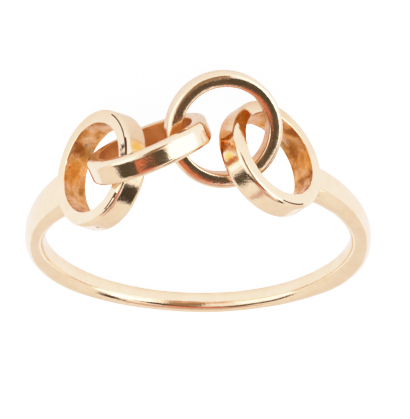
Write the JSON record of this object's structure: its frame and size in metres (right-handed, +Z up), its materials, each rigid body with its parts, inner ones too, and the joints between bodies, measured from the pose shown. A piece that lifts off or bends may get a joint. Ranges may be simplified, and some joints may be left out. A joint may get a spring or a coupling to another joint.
{
  "type": "chain link finger ring",
  "caption": "Finger ring with a tapered half shank that ends in soldered round links, joined across the front by loose round links threaded through each other.",
  "frame": {"origin": "centre of the bounding box's footprint, on the surface on which the ring lies", "axes": "+Y from the loose links at the head (-Y) to the back of the shank, the longest way across; +Z up from the surface, close to the finger's axis, the shortest; +X across the finger towards the left end link"},
  "size_m": [0.0198, 0.0234, 0.0068],
  "materials": {
    "band_gold": null,
    "link_gold": null
  },
  "bodies": {
    "root": {"ring_band": "band_gold", "edgewise_link": "link_gold", "centre_link": "link_gold"}
  },
  "joints": []
}
